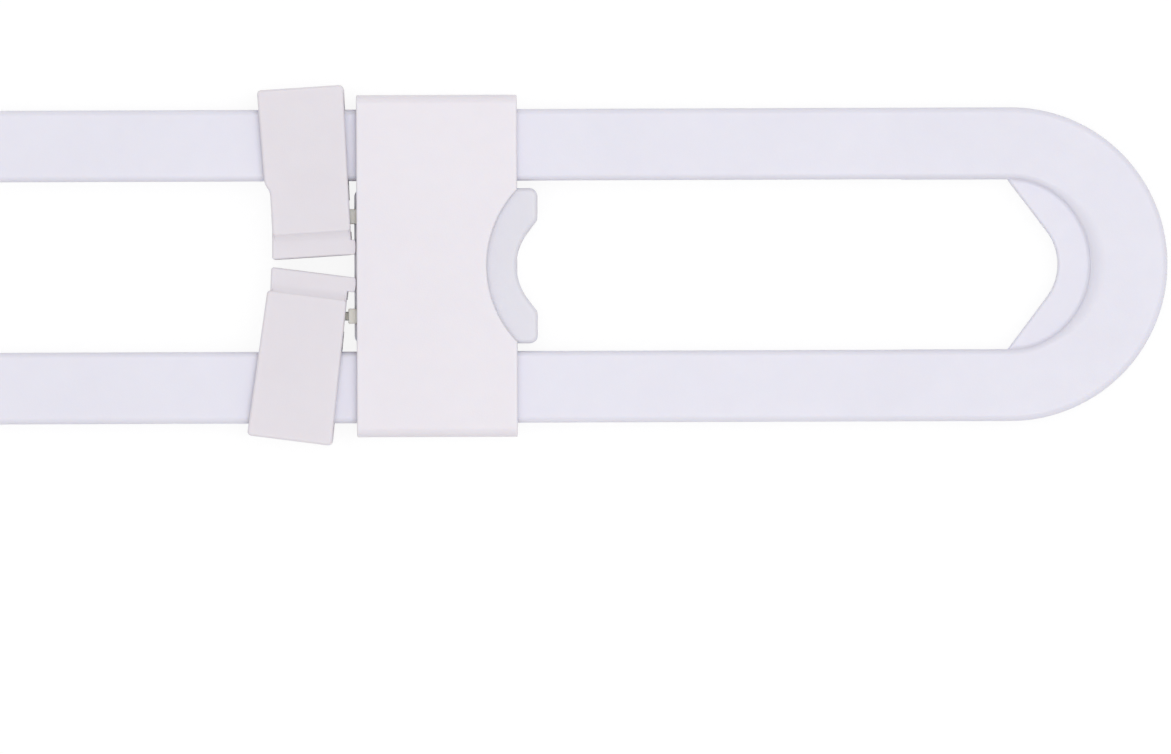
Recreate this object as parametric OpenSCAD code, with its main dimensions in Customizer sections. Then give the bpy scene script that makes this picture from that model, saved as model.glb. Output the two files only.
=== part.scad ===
// Sliding cabinet lock. A U-shaped bar goes round two knobs or handles, and a slider runs
// along its legs. Two sprung tabs on the slider keep their pawls in the racks behind the
// legs, and pinching the tabs together frees it, so that it slides and comes off the ends.
// Millimetres. The front faces +Z, the bend points along +X, and the origin is the middle
// of the slider's rear face.

/* [Bar] */
// Outside width across both legs
bar_width = 46.2; // [42:0.2:54]
// Overall length, from the free ends to the outside of the bend
bar_length = 190; // [170:1:230]
// Width of one leg, seen from the front
leg_width = 10.6; // [9:0.1:12]
// Thickness from front to rear
bar_thickness = 6; // [5.5:0.1:8]
// Rounding of the front edges
bar_front_round = 0.9; // [0.4:0.1:1.5]
// Rounding of the rear edges
bar_rear_round = 0.6; // [0.2:0.1:1]
// Rounding of the corners at the free ends
leg_end_round = 2.4; // [1:0.1:4]
// Softening of the bend's inner front edge, greatest at its middle
bend_softening = 2.3; // [1.6:0.1:3]
// Thickness of the plate inside the bend
web_thickness = 3.2; // [2:0.1:4]
// Distance from the bend's centre to the bottom of the plate's notch
web_notch_reach = 7; // [5:0.1:9]
// Distance from the slider's middle to the bend's centre
slider_to_bend = 84.4; // [70:0.1:95]

/* [Knob notches] */
// Slope of a notch's sides away from straight across
notch_slope = 37; // [30:1:42]
// Radius at the bottom of a notch
notch_round = 8; // [6:0.5:9]

/* [Rack] */
// Distance from one tooth to the next
tooth_pitch = 2.5; // [2.4:0.1:4]
// Height of a tooth
tooth_depth = 0.9; // [0.85:0.05:1.1]
// Width of a tooth's flat tip
tooth_tip = 0.4; // [0.2:0.05:0.5]
// How far the teeth lie behind the leg's inner edge
tooth_setback = 0.35; // [0.2:0.05:0.6]
// Lean of a tooth's holding side away from straight across
lock_lean = 42; // [42:1:46]
// Lean of a tooth's climbing side away from straight across
ramp_lean = 25; // [15:1:32]
// Thickness of the smooth front strip that hides the teeth
flange_thickness = 2.4; // [1.9:0.1:3]
// Plain length of leg between the rack and the bend
rack_margin = 16; // [10:1:40]

/* [Housing] */
// Length along the legs
housing_length = 23.6; // [20:0.1:28]
// Thickness of the front wall
front_wall = 1.7; // [1.4:0.1:2.5]
// Thickness of the rear wall
rear_wall = 1.5; // [1.2:0.1:2.5]
// Thickness of the walls outside the legs
side_wall = 1.75; // [1.5:0.05:2.5]
// Thickness of the ribs between the legs and the core
rib_wall = 0.75; // [0.5:0.05:1.2]
// Rounding of the front edges outside the legs
housing_side_round = 1.4; // [0.5:0.1:1.5]
// Rounding of the front edges across the legs
housing_end_round = 0.5; // [0.2:0.1:1]
// Rounding of the housing's upright corners
housing_corner_round = 0.6; // [0.2:0.1:1]
// Height of the seam between the covers
seam_height = 3.4; // [2.6:0.1:5]
// Radius of the scallop over the saddle
scallop_radius = 16.2; // [14:0.1:20]
// Depth of the scallop
scallop_depth = 4.5; // [3:0.1:5]
// Radius of the pegs that join the covers
peg_radius = 1.2; // [0.8:0.1:1.5]
// Distance between the pegs along the legs
peg_spacing_along = 8; // [6:0.5:9]
// Distance between the pegs across the legs
peg_spacing_across = 16; // [15:0.5:17]

/* [Core] */
// Thickness of the core
core_thickness = 5.1; // [4.6:0.1:5.6]
// How far the core stands out beside the tabs
core_lip = 0.35; // [0:0.05:0.4]
// How far the saddle stands out on the knob side
saddle_reach = 3; // [2:0.1:5]
// Depth of the saddle's notch
saddle_notch_depth = 3.1; // [1.5:0.1:4]
// Rounding of the core's upright corners
core_round = 1.2; // [0.4:0.1:2]
// Rounding of the core's front edges beside the legs
core_edge_round = 0.6; // [0.2:0.1:1]

/* [Tabs] */
// Length of a tab along the legs
tab_length = 12.3; // [11:0.1:14]
// Gap between a released tab and the housing
tab_gap = 0.75; // [0.6:0.05:1.2]
// Thickness of the wall outside the leg
tab_outer_wall = 1.35; // [1:0.05:2]
// Thickness of the front wall
tab_front_wall = 1.5; // [1.2:0.1:2]
// Thickness of the wall that carries the pawl
pawl_wall = 2.3; // [1.8:0.1:2.8]
// Thickness of the wall at the far end
tab_end_wall = 1.2; // [0.9:0.1:1.6]
// Width of the low step at the inner end
step_width = 3.4; // [3:0.1:3.8]
// Drop of the low step below the front face
step_drop = 0.6; // [0.5:0.1:1.3]
// How far the upper tab's far end is drawn in towards the middle
upper_waist = 0.85; // [0.5:0.05:1]
// How far the low step is drawn in at the far end
step_inset = 0.55; // [0.3:0.05:0.8]
// Rounding of the outer front edge
tab_outer_round = 1.1; // [0.4:0.1:1.3]
// Rounding of the other front edges
tab_edge_round = 0.5; // [0.2:0.1:0.8]
// Rounding of the upright corners outside the leg
tab_corner_round = 0.7; // [0.2:0.1:1]
// Turn of the upper tab from released
upper_squeeze = 3.6; // [3.6:0.1:7.4]
// Turn of the lower tab from released
lower_squeeze = 7.4; // [3.6:0.1:7.4]

/* [Hinges] */
// Radius of a hinge pin
pin_radius = 0.7; // [0.5:0.05:0.8]
// Distance between the two pins
pin_spacing = 5.6; // [5.4:0.1:6]
// How far the pins lie inside the housing's edge
pin_inset = 0.9; // [0.7:0.05:1]
// Radius of a tab's knuckle
knuckle_radius = 1.5; // [1.3:0.05:1.6]
// Thickness of the core's ears above and below a knuckle
ear_thickness = 1.1; // [0.9:0.1:1.3]
// How far the hood over a hinge reaches outwards past its pin
hood_reach = 1.2; // [0.8:0.1:1.4]

/* [Springs] */
// Thickness of the boss that a spring grows from
spring_boss = 2.2; // [1.8:0.1:2.4]
// Thickness of a spring where it leaves its boss
spring_root = 1.3; // [1:0.1:1.6]
// Thickness of a spring at its nose
spring_nose = 0.8; // [0.6:0.05:1]
// Height of a spring's leaf from front to rear
spring_height = 2.8; // [2:0.1:3]

/* [Hidden] */
$fn = 64;

plastic = [0.93, 0.92, 0.95];
inner_plastic = [0.88, 0.87, 0.9];
spring_plastic = [0.8, 0.79, 0.78];
steel = [0.72, 0.73, 0.75];

// Reach of cuts past the faces that they open
overrun = 0.5;
// Running gap between the legs and what they slide in
leg_clearance = 0.3;
// Gap round pieces that are fixed to each other
seat_gap = 0.05;
// Running gap of a knuckle on its pin
pin_gap = 0.05;
// Gap that stays between moving pieces at the end of their travel
stop_gap = 0.1;
// Gap along the rack between a pawl and the tooth that holds it
lock_gap = 0.12;
// Full turn of a tab from released to pinched
squeeze_limit = 7.4;

// Heights
leg_rear = rear_wall + leg_clearance;
leg_front = leg_rear + bar_thickness;
flange_rear = leg_front - flange_thickness;
front_inside = leg_front + leg_clearance;
front_face = front_inside + front_wall;
core_front = rear_wall + core_thickness;

// Bar, seen from the front
bend_outer = bar_width / 2;
bend_inner = bend_outer - leg_width;
bend_end = slider_to_bend + bend_outer;
leg_end = bend_end - bar_length;

// Housing, seen from the front
housing_half_length = housing_length / 2;
housing_half_width = bend_outer + leg_clearance + side_wall;
channel_inner = bend_inner - leg_clearance;
channel_outer = bend_outer + leg_clearance;
core_half_width = channel_inner - rib_wall - seat_gap;
core_width = 2 * core_half_width;

// Hinges and released tabs, seen from the front, on the upper side
pin_x = pin_inset - housing_half_length;
pin_y = pin_spacing / 2;
tab_near = -housing_half_length - tab_gap;
tab_far = tab_near - tab_length;
tab_swing = pin_x - tab_far;
pawl_face = bend_inner - leg_clearance;
pawl_inside = pawl_face - pawl_wall;
squeeze_room = (tab_swing * sin(squeeze_limit) + stop_gap + leg_clearance
                + (bend_outer - pin_y) * (1 - cos(squeeze_limit))) / cos(squeeze_limit);
tab_outer_inside = bend_outer + squeeze_room;
tab_outer = tab_outer_inside + tab_outer_wall;
tab_inner = pin_y - (pin_y - stop_gap - (tab_swing - step_inset) * sin(squeeze_limit))
            / cos(squeeze_limit);
step_end = tab_inner + step_width;
waist_start = pawl_face + pawl_wall / 2;
waist_end = pawl_face - pawl_wall / 2;
pocket_far = tab_far + upper_waist + tab_end_wall;
tab_rear_gap = 0.25;
tab_rear_wall = rear_wall - tab_rear_gap;
tab_front = front_inside + tab_front_wall;
tab_height = tab_front - tab_rear_gap;

// Knuckles lie between the core's ears
knuckle_low = rear_wall + ear_thickness;
knuckle_high = core_front - ear_thickness;
knuckle_side_gap = 0.1;
neck_width = knuckle_radius;

// Hoods over the hinges, which stay clear of the housing at the end of the pinch
hood_end = -housing_half_length - stop_gap;
hood_inner_end = pin_x + (hood_end - pin_x - (pin_y - tab_inner) * sin(squeeze_limit))
                 / cos(squeeze_limit);

// Rack and pawls, on the upper side
tooth_line = bend_inner + tooth_setback;
tooth_root = tooth_line + tooth_depth;
ramp_run = tooth_depth * tan(ramp_lean);
lock_run = tooth_depth * tan(lock_lean);
tooth_base = ramp_run + tooth_tip + lock_run;
pawl_tip = 0.5;
pawl_bite = 0.65;
pawl_top = tooth_line + pawl_bite;
pawl_inset = 1.3;
// How far the pawl is sunk into its wall
pawl_sunk = 0.15;
pawl_x = tab_far + pawl_inset;
rack_origin = pawl_x - lock_gap - ramp_run - tooth_tip;
rack_end = slider_to_bend - rack_margin;
first_tooth = ceil((leg_end + leg_end_round - rack_origin) / tooth_pitch);
last_tooth = floor((rack_end - tooth_base - rack_origin) / tooth_pitch);

// Springs, each in the pocket between its tab's step and pawl wall
spring_place_share = 0.45;
spring_y = step_end + (pawl_inside - step_end) * spring_place_share;
spring_low = (rear_wall + core_front - spring_height) / 2;
spring_foot_high = front_inside - leg_clearance;
spring_foot_x = -housing_half_length - core_lip;
spring_boss_length = 0.9;
spring_start = spring_foot_x - spring_boss_length;
spring_end = pocket_far + spring_nose;
spring_head_length = 1.4;
spring_head_width = 3.2;
spring_stem = 1.6;
spring_steps = 12;

// Waste outside a rounded corner at the origin that opens along +x and +y
module corner_waste(radius) {
    difference() {
        translate([-overrun, -overrun]) square(radius + overrun);
        translate([radius, radius]) circle(radius);
    }
}

// Rectangle from the origin, with a rounding for each corner, counter-clockwise
module rounded_rectangle(size, rounds) {
    corners = [[0, 0], [size.x, 0], [size.x, size.y], [0, size.y]];
    difference() {
        square(size);
        for (i = [0 : 3])
            if (rounds[i] > 0)
                translate(corners[i]) rotate(90 * i) corner_waste(rounds[i]);
    }
}

// Outline in y and z, drawn out along x from start to end
module along_x(start, end) {
    translate([start, 0, 0]) rotate([90, 0, 90]) linear_extrude(end - start) children();
}

// Outline in x and z, drawn out along y from start to end
module along_y(start, end) {
    translate([0, end, 0]) rotate([90, 0, 0]) linear_extrude(end - start) children();
}

// Outline in x and y, drawn out along z from low to high
module upright(low, high) {
    translate([0, 0, low]) linear_extrude(high - low) children();
}

// Copies of a piece on the upper and lower sides
module both_sides() {
    children();
    mirror([0, 1, 0]) children();
}

// Notch that is open towards -x, with its bottom at the origin
module notch(half_width) {
    tangent = [notch_round * (cos(notch_slope) - 1), notch_round * sin(notch_slope)];
    mouth_x = tangent.x - (half_width - tangent.y) * tan(notch_slope);
    translate([-notch_round, 0]) circle(notch_round);
    polygon([tangent, [mouth_x, half_width], [mouth_x, -half_width], [tangent.x, -tangent.y]]);
}

// Cross-section of the bar, with the bend's centre at x = 0
module bar_section() {
    translate([bend_inner, leg_rear])
        rounded_rectangle([leg_width, bar_thickness],
                          [bar_rear_round, bar_rear_round, bar_front_round, bar_front_round]);
}

// One tooth of the rack as points from its climbing side to its holding side
function tooth(start) = [
    [start, tooth_root],
    [start + ramp_run, tooth_line],
    [start + ramp_run + tooth_tip, tooth_line],
    [start + tooth_base, tooth_root]
];

// Room in front of the rack's teeth, which runs out at the leg's free end
module rack_room() {
    teeth = [for (k = [first_tooth : last_tooth]) each tooth(rack_origin + k * tooth_pitch)];
    polygon(concat([[leg_end - overrun, bend_inner - overrun], [leg_end - overrun, tooth_root]],
                   teeth,
                   [[rack_end, tooth_root], [rack_end, bend_inner - overrun]]));
}

// Straight leg with its rack, on the upper side
module leg() {
    difference() {
        along_x(leg_end, slider_to_bend) bar_section();
        upright(leg_rear - overrun, flange_rear) rack_room();
        upright(leg_rear - overrun, leg_front + overrun) {
            translate([leg_end, bend_inner]) corner_waste(leg_end_round);
            translate([leg_end, bend_outer]) mirror([0, 1]) corner_waste(leg_end_round);
        }
    }
}

// Plate inside the bend, notched to centre a knob
module bend_web() {
    upright(leg_rear, leg_rear + web_thickness)
        translate([slider_to_bend, 0])
            difference() {
                intersection() {
                    circle(bend_inner + leg_width / 2);
                    translate([0, -bend_inner]) square([bend_inner + leg_width, 2 * bend_inner]);
                }
                translate([web_notch_reach, 0]) notch(bend_inner + overrun);
            }
}

// Half-round bend, whose inner front edge is softened by a crescent round
module bend() {
    difference() {
        translate([slider_to_bend, 0, 0])
            rotate(-90) rotate_extrude(angle = 180) bar_section();
        translate([slider_to_bend + bend_softening, 0, leg_front])
            rotate_extrude()
                translate([bend_inner - bend_softening, 0])
                    mirror([0, 1]) corner_waste(bend_softening);
    }
}

module u_bar() {
    color(plastic) {
        both_sides() leg();
        bend();
        bend_web();
    }
}

// Places of the pegs that join the covers
module peg_places() {
    for (x = [-1, 1] * peg_spacing_along / 2, y = [-1, 1] * peg_spacing_across / 2)
        translate([x, y]) children();
}

// Outline of the covers, seen from the front
module housing_outline() {
    corner = housing_corner_round;
    translate([-housing_half_length, -housing_half_width])
        rounded_rectangle([housing_length, 2 * housing_half_width],
                          [corner, corner, corner, corner]);
}

// Scallop through the front wall, with a rounded rim
module scallop() {
    translate([housing_half_length - scallop_depth + scallop_radius, 0, 0]) {
        upright(seam_height - overrun, front_face + overrun) circle(scallop_radius);
        rotate_extrude()
            translate([scallop_radius, front_face]) mirror([0, 1]) corner_waste(housing_end_round);
    }
}

// Front shell of the slider, with pegs that pass through the core
module front_cover() {
    height = front_face - seam_height;
    color(plastic) {
        difference() {
            intersection() {
                upright(seam_height, front_face) housing_outline();
                along_x(-housing_half_length, housing_half_length)
                    translate([-housing_half_width, seam_height])
                        rounded_rectangle([2 * housing_half_width, height],
                                          [0, 0, housing_side_round, housing_side_round]);
                along_y(-housing_half_width, housing_half_width)
                    translate([-housing_half_length, seam_height])
                        rounded_rectangle([housing_length, height],
                                          [0, 0, housing_end_round, housing_end_round]);
            }
            both_sides()
                along_x(-housing_half_length - overrun, housing_half_length + overrun)
                    translate([channel_inner, seam_height - overrun])
                        square([channel_outer - channel_inner,
                                front_inside - seam_height + overrun]);
            along_x(-housing_half_length - overrun, housing_half_length + overrun)
                translate([-core_half_width - seat_gap, seam_height - overrun])
                    square([core_width + 2 * seat_gap, front_inside - seam_height + overrun]);
            scallop();
        }
        upright(0, front_inside) peg_places() circle(peg_radius);
    }
}

// Rear shell of the slider, which rests on the door
module rear_cover() {
    color(plastic)
        difference() {
            intersection() {
                upright(0, seam_height) housing_outline();
                along_x(-housing_half_length, housing_half_length)
                    difference() {
                        translate([-housing_half_width, 0])
                            rounded_rectangle([2 * housing_half_width, seam_height],
                                              [housing_end_round, housing_end_round, 0, 0]);
                        translate([-channel_outer, rear_wall])
                            square([2 * channel_outer, seam_height]);
                    }
            }
            upright(-overrun, rear_wall + overrun) peg_places() circle(peg_radius + seat_gap);
        }
}

// Block between the legs, with the saddle, the hinge ears and the spring seats
module lock_core() {
    core_near = -housing_half_length - core_lip;
    core_far = housing_half_length + saddle_reach;
    color(inner_plastic)
        difference() {
            intersection() {
                upright(rear_wall, core_front)
                    difference() {
                        translate([core_near, -core_half_width])
                            rounded_rectangle([core_far - core_near, core_width],
                                              [core_round, core_round, core_round, core_round]);
                        translate([core_far - saddle_notch_depth, 0])
                            mirror([1, 0]) notch(core_half_width);
                        peg_places() circle(peg_radius + seat_gap);
                    }
                along_x(core_near, core_far)
                    translate([-core_half_width, rear_wall])
                        rounded_rectangle([core_width, core_thickness],
                                          [0, 0, core_edge_round, core_edge_round]);
            }
            both_sides() {
                hinge_pocket();
                upright(spring_low, core_front + overrun)
                    spring_foot(seat_gap);
            }
        }
}

// Room in the core for a knuckle to turn, and the bores of its pin in the ears
module hinge_pocket() {
    reach = knuckle_radius + leg_clearance;
    upright(knuckle_low - knuckle_side_gap, knuckle_high + knuckle_side_gap)
        translate([pin_x, pin_y]) {
            circle(reach);
            translate([-reach - core_lip - pin_inset, -reach])
                square([reach + core_lip + pin_inset, 2 * reach]);
        }
    upright(rear_wall - overrun, core_front + overrun)
        translate([pin_x, pin_y]) circle(pin_radius + seat_gap);
}

// Waste beyond a released tab's far end, which is drawn in along an S-shaped curve
module waist_waste(waist) {
    curve_length = waist_start - waist_end;
    curve_radius = (curve_length * curve_length + waist * waist) / (4 * waist);
    waste_start = tab_far - overrun;
    difference() {
        translate([waste_start, waist_end + curve_length / 2])
            square([waist / 2 + overrun, curve_length / 2]);
        translate([tab_far + curve_radius, waist_start]) circle(curve_radius);
    }
    intersection() {
        translate([waste_start, waist_end]) square([waist + overrun, curve_length / 2]);
        translate([tab_far + waist - curve_radius, waist_end]) circle(curve_radius);
    }
    translate([waste_start, step_end - overrun])
        square([waist + overrun, waist_end - step_end + overrun]);
}

// Outline of a released tab's raised part, seen from the front, with or without a waist
module raised_outline(waist) {
    corner = tab_corner_round;
    difference() {
        translate([tab_far, step_end])
            rounded_rectangle([tab_length, tab_outer - step_end], [0, corner, corner, corner]);
        if (waist > 0) waist_waste(waist);
        translate([tab_far + waist, step_end]) corner_waste(corner);
    }
}

// Outside of a released tab: a raised face with a low step at its inner end
module tab_block(waist) {
    intersection() {
        upright(tab_rear_gap, tab_front) raised_outline(waist);
        along_x(tab_far, tab_near)
            translate([step_end, tab_rear_gap])
                rounded_rectangle([tab_outer - step_end, tab_height],
                                  [0, tab_edge_round, tab_outer_round, tab_edge_round]);
        along_y(step_end, tab_outer)
            translate([tab_far, tab_rear_gap])
                rounded_rectangle([tab_length, tab_height],
                                  [0, 0, tab_edge_round, tab_edge_round]);
    }
    tab_step(tab_far + max(waist, step_inset), tab_near);
}

// Low step of a released tab between two places along the legs
module tab_step(start, end) {
    along_x(start, end)
        translate([tab_inner, tab_rear_gap])
            rounded_rectangle([step_width + tab_corner_round, tab_height - step_drop],
                              [0, 0, 0, tab_edge_round]);
}

// Hood at the front of a released tab's step, which hides its hinge
module hinge_hood() {
    hood_start = tab_near - overrun;
    intersection() {
        tab_step(hood_start, hood_end);
        upright(core_front + knuckle_side_gap, tab_front)
            polygon([[hood_start, tab_inner], [hood_inner_end, tab_inner], [hood_end, pin_y],
                     [hood_end, pin_y + hood_reach], [hood_start, pin_y + hood_reach]]);
    }
}

// Tooth on the tab that drops into the rack
module pawl() {
    lock_slope = tan(lock_lean);
    ramp_slope = tan(ramp_lean);
    top_near = pawl_x + pawl_bite * lock_slope;
    root = pawl_face - pawl_sunk;
    upright(tab_rear_gap + tab_rear_wall, flange_rear - leg_clearance)
        polygon([[top_near, pawl_top],
                 [top_near + pawl_tip, pawl_top],
                 [top_near + pawl_tip + (pawl_top - root) * ramp_slope, root],
                 [top_near - (pawl_top - root) * lock_slope, root]]);
}

// Knuckle on the hinge pin and the neck that carries it
module knuckle() {
    upright(knuckle_low, knuckle_high) {
        translate([pin_x, pin_y]) circle(knuckle_radius);
        translate([tab_near - overrun, pin_y - neck_width / 2])
            square([pin_x - tab_near + overrun, neck_width]);
    }
}

// Released tab, a sleeve round the upper leg with a pocket for the spring
module released_tab(waist) {
    difference() {
        union() {
            difference() {
                tab_block(waist);
                along_x(tab_far - overrun, tab_near + overrun)
                    translate([pawl_face, tab_rear_gap + tab_rear_wall])
                        square([tab_outer_inside - pawl_face,
                                front_inside - tab_rear_gap - tab_rear_wall]);
                along_x(pocket_far, tab_near + overrun)
                    translate([step_end, tab_rear_gap - overrun])
                        square([pawl_inside - step_end, front_inside - tab_rear_gap + overrun]);
            }
            pawl();
            knuckle();
            hinge_hood();
        }
        upright(knuckle_low - overrun, knuckle_high + overrun)
            translate([pin_x, pin_y]) circle(pin_radius + pin_gap);
    }
}

// Tab turned about the upper pin from released
module squeezed_tab(angle, waist) {
    translate([pin_x, pin_y, 0]) rotate(angle) translate([-pin_x, -pin_y, 0])
        released_tab(waist);
}

module upper_tab() {
    color(plastic) squeezed_tab(upper_squeeze, upper_waist);
}

module lower_tab() {
    color(plastic) mirror([0, 1, 0]) squeezed_tab(lower_squeeze, 0);
}

module hinge_pin() {
    color(steel) upright(rear_wall, core_front) translate([pin_x, pin_y]) circle(pin_radius);
}

// Foot of a spring in the core, a head on a stem that ends in the boss, grown by a gap
module spring_foot(gap) {
    head_x = spring_foot_x + spring_stem;
    translate([head_x - gap, spring_y - spring_head_width / 2 - gap])
        square([spring_head_length + 2 * gap, spring_head_width + 2 * gap]);
    translate([spring_start - gap, spring_y - spring_boss / 2 - gap])
        square([spring_boss_length + spring_stem + 2 * gap, spring_boss + 2 * gap]);
}

// Height of a spring's nose above its root when the tab is turned by an angle
function nose_rise(angle) =
    pin_y + (pawl_inside - pin_y - spring_nose / 2 - seat_gap) / cos(angle)
    + (spring_end - pin_x) * tan(angle) - spring_y;

// Middle of a bent spring at a share of its length, and its thickness there
function spring_middle(share, rise) = [
    spring_start + (spring_end - spring_start) * share,
    spring_y + rise * share * share * (3 - share) / 2
];
function spring_half_thickness(share) =
    (spring_nose + (spring_root - spring_nose) * pow(1 - share, 2)) / 2;

// Upper leaf spring, bent from its seat in the core to the back of the pawl wall. The cover
// keeps its tall foot from lifting out.
module leaf_spring(angle) {
    rise = nose_rise(angle);
    root_x = spring_start + spring_boss_length / 2;
    shares = [for (i = [0 : spring_steps]) i / spring_steps];
    outer = [for (s = shares) spring_middle(s, rise) + [0, spring_half_thickness(s)]];
    inner = [for (s = shares) spring_middle(s, rise) - [0, spring_half_thickness(s)]];
    inner_back = [for (i = [spring_steps : -1 : 0]) inner[i]];
    upright(spring_low, spring_foot_high) spring_foot(0);
    upright(spring_low, spring_low + spring_height) {
        polygon(concat([[root_x, spring_y + spring_root / 2]], outer, inner_back,
                       [[root_x, spring_y - spring_root / 2]]));
        translate(spring_middle(1, rise)) circle(spring_nose / 2);
    }
}

module upper_spring() {
    color(spring_plastic) leaf_spring(upper_squeeze);
}

module lower_spring() {
    color(spring_plastic) mirror([0, 1, 0]) leaf_spring(lower_squeeze);
}

u_bar();
front_cover();
rear_cover();
lock_core();
upper_tab();
lower_tab();
hinge_pin();  // upper_hinge_pin
mirror([0, 1, 0]) hinge_pin();  // lower_hinge_pin
upper_spring();
lower_spring();
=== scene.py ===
# Sliding cabinet lock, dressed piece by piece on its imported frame. A piece is worked in
# millimetres, in the frame's own place, and is brought to metres when it is finished.
import math

import bmesh
import bpy
import numpy as np
from mathutils import Matrix, Vector


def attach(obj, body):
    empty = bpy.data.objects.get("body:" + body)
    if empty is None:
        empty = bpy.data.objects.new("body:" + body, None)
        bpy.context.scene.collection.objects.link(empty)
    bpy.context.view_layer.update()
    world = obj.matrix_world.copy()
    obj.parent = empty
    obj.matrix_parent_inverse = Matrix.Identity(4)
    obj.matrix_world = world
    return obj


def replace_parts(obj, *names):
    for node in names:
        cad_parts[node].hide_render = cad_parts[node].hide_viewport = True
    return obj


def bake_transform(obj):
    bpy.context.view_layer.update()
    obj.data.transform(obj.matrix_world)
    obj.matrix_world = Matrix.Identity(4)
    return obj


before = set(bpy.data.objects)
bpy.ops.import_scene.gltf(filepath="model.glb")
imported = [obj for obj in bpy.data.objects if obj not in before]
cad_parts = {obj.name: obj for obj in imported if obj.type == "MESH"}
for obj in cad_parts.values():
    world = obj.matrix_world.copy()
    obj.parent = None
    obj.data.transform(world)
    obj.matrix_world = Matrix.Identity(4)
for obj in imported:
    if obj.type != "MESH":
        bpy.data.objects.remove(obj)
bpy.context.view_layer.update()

# Bar: one moulding of white polypropylene in the shape of a long U, with a notched plate in the
# bend for a knob and a rack behind each leg's smooth front strip. The two halves of its mould
# leave a fine step along its sides, and the pins that push it out leave round marks behind.
MM = 0.001
BEND_X = 84.4
BAR_OUTER, BAR_INNER = 23.1, 12.5
LEG_END, LEG_END_ROUND = -82.5, 2.4
LEG_REAR, LEG_FRONT = 1.8, 7.8
BAR_REAR_ROUND, BAR_FRONT_ROUND = 0.6, 0.9
BEND_INNER, BEND_SOFTENING, BEND_SLACK, CRESCENT_DROP = 11.65, 2.4, 0.1, 0.54
PARTING_HEIGHT, PARTING_STEP = 4.1, 0.04
FLOW_SCALE, POLISH_SCALE, GRAIN_SCALE = 55, 420, 5200
MITRE_LIMIT, DOUBLES, SHARP_TURN = 0.3, 0.0005, math.radians(34)


def satin_plastic(name, colour, shade, roughness=0.40):
    """White moulded plastic: slow flow marks, a fine eroded grain and a little depth."""
    skin = bpy.data.materials.new(name)
    skin.use_nodes = True
    nodes, links = skin.node_tree.nodes, skin.node_tree.links
    shader = nodes["Principled BSDF"]
    place = nodes.new("ShaderNodeTexCoord").outputs["Object"]

    def clouds(scale, detail):
        noise = nodes.new("ShaderNodeTexNoise")
        noise.inputs["Scale"].default_value = scale
        noise.inputs["Detail"].default_value = detail
        links.new(place, noise.inputs["Vector"])
        return noise.outputs["Fac"]

    flow = nodes.new("ShaderNodeValToRGB")
    flow.color_ramp.elements[0].position = 0.36
    flow.color_ramp.elements[0].color = (*shade, 1)
    flow.color_ramp.elements[1].position = 0.64
    flow.color_ramp.elements[1].color = (*colour, 1)
    links.new(clouds(FLOW_SCALE, detail=3), flow.inputs["Fac"])
    links.new(flow.outputs["Color"], shader.inputs["Base Color"])

    polish = nodes.new("ShaderNodeMapRange")
    polish.inputs["To Min"].default_value = roughness - 0.06
    polish.inputs["To Max"].default_value = roughness + 0.08
    links.new(clouds(POLISH_SCALE, detail=4), polish.inputs["Value"])
    links.new(polish.outputs["Result"], shader.inputs["Roughness"])

    grain = nodes.new("ShaderNodeBump")
    grain.inputs["Strength"].default_value = 0.25
    grain.inputs["Distance"].default_value = 0.00004
    links.new(clouds(GRAIN_SCALE, detail=2), grain.inputs["Height"])
    links.new(grain.outputs["Normal"], shader.inputs["Normal"])

    shader.inputs["Subsurface Weight"].default_value = 0.30
    shader.inputs["Subsurface Radius"].default_value = (1.0, 0.82, 0.66)
    shader.inputs["Subsurface Scale"].default_value = 0.0014
    return skin


def arc(centre, radius, start, end, step=6.0):
    """Points along an arc between two angles in degrees, both ends included."""
    count = max(2, math.ceil(abs(end - start) / step))
    turns = np.radians(np.linspace(start, end, count + 1))
    return [(centre[0] + radius * math.cos(t), centre[1] + radius * math.sin(t)) for t in turns]


def lofted(outline, rings, place=lambda x, y, z: (x, y, z)):
    """Closed solid on an outline. A ring is a height and how far the outline is drawn in there."""
    points = np.array(outline)
    ahead = np.roll(points, -1, axis=0) - points
    ahead /= np.linalg.norm(ahead, axis=1)[:, None]
    left = np.stack([-ahead[:, 1], ahead[:, 0]], axis=1)
    inward = left + np.roll(left, 1, axis=0)
    inward /= np.maximum(np.sum(inward * left, axis=1), MITRE_LIMIT)[:, None]
    shape = bmesh.new()
    loops = []
    for height, inset in rings:
        heights = np.broadcast_to(height, len(points))
        flat = points + inward * np.broadcast_to(inset, len(points))[:, None]
        loops.append([shape.verts.new(place(*p, h)) for p, h in zip(flat, heights)])
    for low, high in zip(loops, loops[1:]):
        for i in range(len(points)):
            shape.faces.new((low[i - 1], low[i], high[i], high[i - 1]))
    shape.faces.new(loops[0][::-1])
    shape.faces.new(loops[-1])
    return shape


def rear_edge(height, radius, steps=5):
    """Rings of a rounded edge that leads from a rear face out to the sides."""
    turns = np.linspace(0, math.pi / 2, steps + 1)
    return [(height + radius * (1 - math.cos(t)), radius * (1 - math.sin(t))) for t in turns]


def front_edge(height, radius, steps=5):
    """Rings of a rounded edge that leads from the sides in to a front face."""
    return [(2 * height - h, inset) for h, inset in reversed(rear_edge(height, radius, steps))]


def solid(shape, name="work"):
    """Object of a shape in millimetres."""
    mesh = bpy.data.meshes.new(name)
    shape.to_mesh(mesh)
    shape.free()
    thing = bpy.data.objects.new(name, mesh)
    bpy.context.scene.collection.objects.link(thing)
    return thing


def settle(thing):
    """Turn a piece and its modifiers into a plain mesh."""
    result = bpy.data.meshes.new_from_object(
        thing.evaluated_get(bpy.context.evaluated_depsgraph_get()))
    thing.modifiers.clear()
    thing.data = result


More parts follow.
